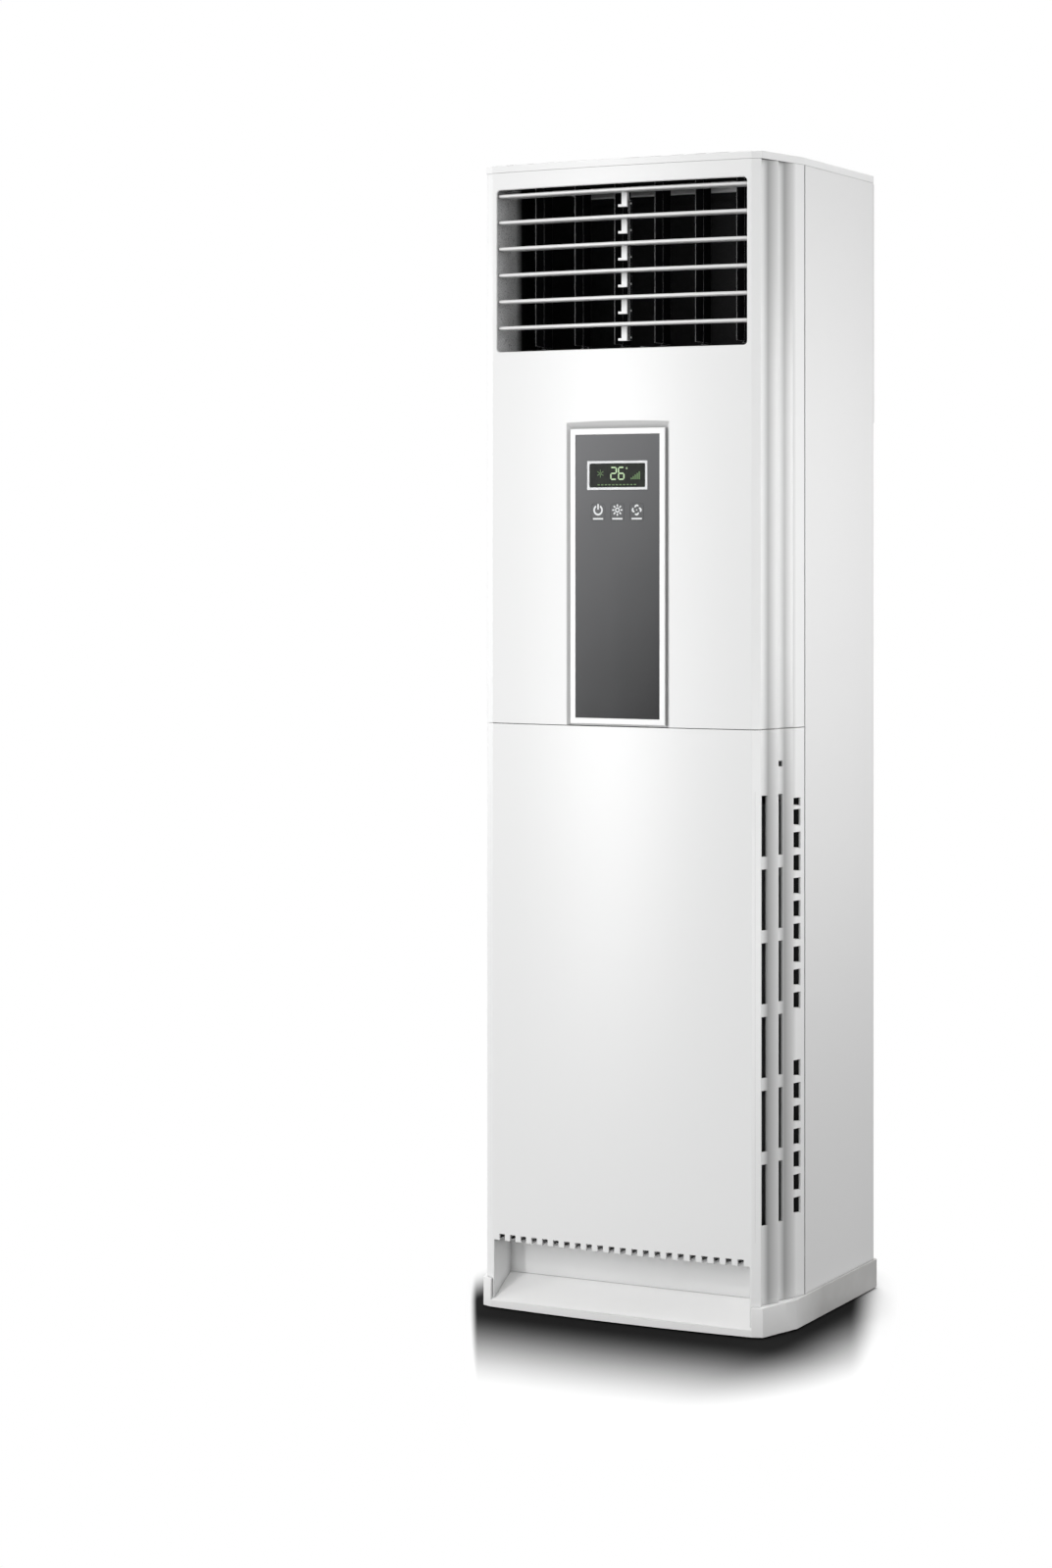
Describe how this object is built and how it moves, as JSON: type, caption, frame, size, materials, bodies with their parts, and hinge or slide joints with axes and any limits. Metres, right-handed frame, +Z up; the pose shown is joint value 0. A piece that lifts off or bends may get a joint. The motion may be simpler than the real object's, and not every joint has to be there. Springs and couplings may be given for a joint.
{
  "type": "floor standing air conditioner",
  "caption": "Tall indoor air conditioner cabinet with tilting louvers, swinging vanes, a front display, slotted intake columns and a pull-off lower panel with an intake bay.",
  "frame": {"origin": "middle of the plinth's footprint, on the floor", "axes": "+Z up, the front with the outlet and display faces -Y, +X is the viewer's right when facing the front"},
  "size_m": [0.54, 0.415, 1.825],
  "materials": {
    "shell": "white moulded plastic, satin gloss",
    "side_sheet": "white powder coat",
    "rear_sheet": "galvanised sheet, light grey coat",
    "base": "white moulded plastic",
    "rubber": "black rubber",
    "blade": "white moulded plastic",
    "inner_black": "black moulded plastic",
    "duct": "grey moulded foam plastic",
    "grey_plastic": "grey moulded plastic",
    "display_dark": "dark grey, behind a clear coat",
    "bright_trim": "silver lacquer",
    "screen": "black screen with a green tint",
    "board": "green circuit board",
    "galvanised": "galvanised sheet",
    "fin": "thin aluminium fins",
    "copper": "bare copper",
    "foam": "black foam sheet",
    "motor_metal": "painted motor case",
    "steel_shaft": "ground steel",
    "mesh": "dark mesh in a plastic frame"
  },
  "bodies": {
    "cabinet": {"base_plinth": "base", "rubber_feet": "rubber", "left_side_panel": "side_sheet", "right_side_panel": "side_sheet", "rear_panel": "rear_sheet", "top_cover": "shell", "upper_front_panel": "shell", "front_rail": "galvanised", "mid_partition": "galvanised", "outlet_duct": "duct", "swing_motor": "grey_plastic", "display_bezel": "shell", "display_plate": "display_dark", "lcd_frame": "bright_trim", "lcd_window": "screen", "display_board": "board", "coil_fins": "fin", "coil_tubes": "copper", "coil_end_plates": "galvanised", "suction_pipe": "copper", "liquid_pipe": "copper", "drain_pan": "grey_plastic", "duct_insulation": "foam", "fan_scroll": "grey_plastic", "bell_mouth": "grey_plastic", "fan_motor": "motor_metal", "fan_capacitor": "grey_plastic", "control_box": "galvanised", "control_box_cover": "galvanised", "circuit_board": "board", "terminal_block": "inner_black", "wall_bracket": "galvanised", "pipe_grommet": "rubber", "cord_gland": "inner_black"},
    "lower_panel": {"lower_front_panel": "shell", "left_intake_grille": "shell", "right_intake_grille": "shell"},
    "left_filter_frame": {"left_filter": "mesh"},
    "right_filter_frame": {"right_filter": "mesh"},
    "louver_bar": {"louver_link": "inner_black"},
    "vane_bar": {"vane_link": "inner_black"},
    "crank": {"swing_crank": "grey_plastic"},
    "blower": {"blower_wheel": "grey_plastic", "motor_shaft": "steel_shaft"},
    "power_key": {"power_button": "display_dark"},
    "mode_key": {"mode_button": "display_dark"},
    "fan_key": {"fan_button": "display_dark"},
    "louver_blade_1": {"louver_1": "blade"},
    "vane_blade_1": {"vane_1": "inner_black"},
    "louver_blade_2": {"louver_2": "blade"},
    "vane_blade_2": {"vane_2": "inner_black"},
    "louver_blade_3": {"louver_3": "blade"},
    "vane_blade_3": {"vane_3": "inner_black"},
    "louver_blade_4": {"louver_4": "blade"},
    "vane_blade_4": {"vane_4": "inner_black"},
    "louver_blade_5": {"louver_5": "blade"},
    "vane_blade_5": {"vane_5": "inner_black"},
    "louver_blade_6": {"louver_6": "blade"},
    "vane_blade_6": {"vane_6": "inner_black"}
  },
  "joints": [
    {"name": "lower_panel_pull", "type": "slide", "parent": "cabinet", "child": "lower_panel", "axis": [0, -1, 0], "range_m": [0, 0.15]},
    {"name": "left_filter_lift", "type": "slide", "parent": "lower_panel", "child": "left_filter_frame", "axis": [0, 0, 1], "range_m": [0, 0.06]},
    {"name": "right_filter_lift", "type": "slide", "parent": "lower_panel", "child": "right_filter_frame", "axis": [0, 0, 1], "range_m": [0, 0.06]},
    {"name": "louver_1_tilt", "type": "hinge", "parent": "cabinet", "child": "louver_blade_1", "pos_m": [0, -0.175, 1.776], "axis": [1, 0, 0], "range_deg": [-25, 25]},
    {"name": "louver_2_tilt", "type": "hinge", "parent": "cabinet", "child": "louver_blade_2", "pos_m": [0, -0.175, 1.73385], "axis": [1, 0, 0], "range_deg": [-25, 25]},
    {"name": "louver_3_tilt", "type": "hinge", "parent": "cabinet", "child": "louver_blade_3", "pos_m": [0, -0.175, 1.6917], "axis": [1, 0, 0], "range_deg": [-25, 25]},
    {"name": "louver_4_tilt", "type": "hinge", "parent": "cabinet", "child": "louver_blade_4", "pos_m": [0, -0.175, 1.64955], "axis": [1, 0, 0], "range_deg": [-25, 25]},
    {"name": "louver_5_tilt", "type": "hinge", "parent": "cabinet", "child": "louver_blade_5", "pos_m": [0, -0.175, 1.6074], "axis": [1, 0, 0], "range_deg": [-25, 25]},
    {"name": "louver_6_tilt", "type": "hinge", "parent": "cabinet", "child": "louver_blade_6", "pos_m": [0, -0.175, 1.56525], "axis": [1, 0, 0], "range_deg": [-25, 25]},
    {"name": "louver_link_turn", "type": "hinge", "parent": "louver_blade_1", "child": "louver_bar", "pos_m": [0, -0.175, 1.756], "axis": [1, 0, 0], "range_deg": [-25, 25]},
    {"name": "vane_1_swing", "type": "hinge", "parent": "cabinet", "child": "vane_blade_1", "pos_m": [-0.17825, -0.115, 1.66], "axis": [0, 0, 1], "range_deg": [-35, 35]},
    {"name": "vane_2_swing", "type": "hinge", "parent": "cabinet", "child": "vane_blade_2", "pos_m": [-0.10695, -0.115, 1.66], "axis": [0, 0, 1], "range_deg": [-35, 35]},
    {"name": "vane_3_swing", "type": "hinge", "parent": "cabinet", "child": "vane_blade_3", "pos_m": [-0.03565, -0.115, 1.66], "axis": [0, 0, 1], "range_deg": [-35, 35]},
    {"name": "vane_4_swing", "type": "hinge", "parent": "cabinet", "child": "vane_blade_4", "pos_m": [0.03565, -0.115, 1.66], "axis": [0, 0, 1], "range_deg": [-35, 35]},
    {"name": "vane_5_swing", "type": "hinge", "parent": "cabinet", "child": "vane_blade_5", "pos_m": [0.10695, -0.115, 1.66], "axis": [0, 0, 1], "range_deg": [-35, 35]},
    {"name": "vane_6_swing", "type": "hinge", "parent": "cabinet", "child": "vane_blade_6", "pos_m": [0.17825, -0.115, 1.66], "axis": [0, 0, 1], "range_deg": [-35, 35]},
    {"name": "vane_link_turn", "type": "hinge", "parent": "vane_blade_1", "child": "vane_bar", "pos_m": [-0.17825, -0.091, 1.53], "axis": [0, 0, 1], "range_deg": [-35, 35]},
    {"name": "crank_turn", "type": "hinge", "parent": "cabinet", "child": "crank", "pos_m": [0, -0.115, 1.52], "axis": [0, 0, 1], "range_deg": [-35, 35]},
    {"name": "blower_spin", "type": "hinge", "parent": "cabinet", "child": "blower", "pos_m": [0, 0.1, 0.47], "axis": [0, 1, 0], "continuous": true},
    {"name": "power_button_press", "type": "slide", "parent": "cabinet", "child": "power_key", "axis": [0, 1, 0], "range_m": [0, 0.0008], "stiffness_N_per_m": 400, "springref_m": -0.0005},
    {"name": "mode_button_press", "type": "slide", "parent": "cabinet", "child": "mode_key", "axis": [0, 1, 0], "range_m": [0, 0.0008], "stiffness_N_per_m": 400, "springref_m": -0.0005},
    {"name": "fan_button_press", "type": "slide", "parent": "cabinet", "child": "fan_key", "axis": [0, 1, 0], "range_m": [0, 0.0008], "stiffness_N_per_m": 400, "springref_m": -0.0005}
  ],
  "couplings": [
    {"joint": "louver_2_tilt", "follows": "louver_1_tilt", "ratio": 1},
    {"joint": "louver_3_tilt", "follows": "louver_1_tilt", "ratio": 1},
    {"joint": "louver_4_tilt", "follows": "louver_1_tilt", "ratio": 1},
    {"joint": "louver_5_tilt", "follows": "louver_1_tilt", "ratio": 1},
    {"joint": "louver_6_tilt", "follows": "louver_1_tilt", "ratio": 1},
    {"joint": "louver_link_turn", "follows": "louver_1_tilt", "ratio": -1},
    {"joint": "vane_2_swing", "follows": "vane_1_swing", "ratio": 1},
    {"joint": "vane_3_swing", "follows": "vane_1_swing", "ratio": 1},
    {"joint": "vane_4_swing", "follows": "vane_1_swing", "ratio": 1},
    {"joint": "vane_5_swing", "follows": "vane_1_swing", "ratio": 1},
    {"joint": "vane_6_swing", "follows": "vane_1_swing", "ratio": 1},
    {"joint": "vane_link_turn", "follows": "vane_1_swing", "ratio": -1},
    {"joint": "crank_turn", "follows": "vane_1_swing", "ratio": 1}
  ]
}
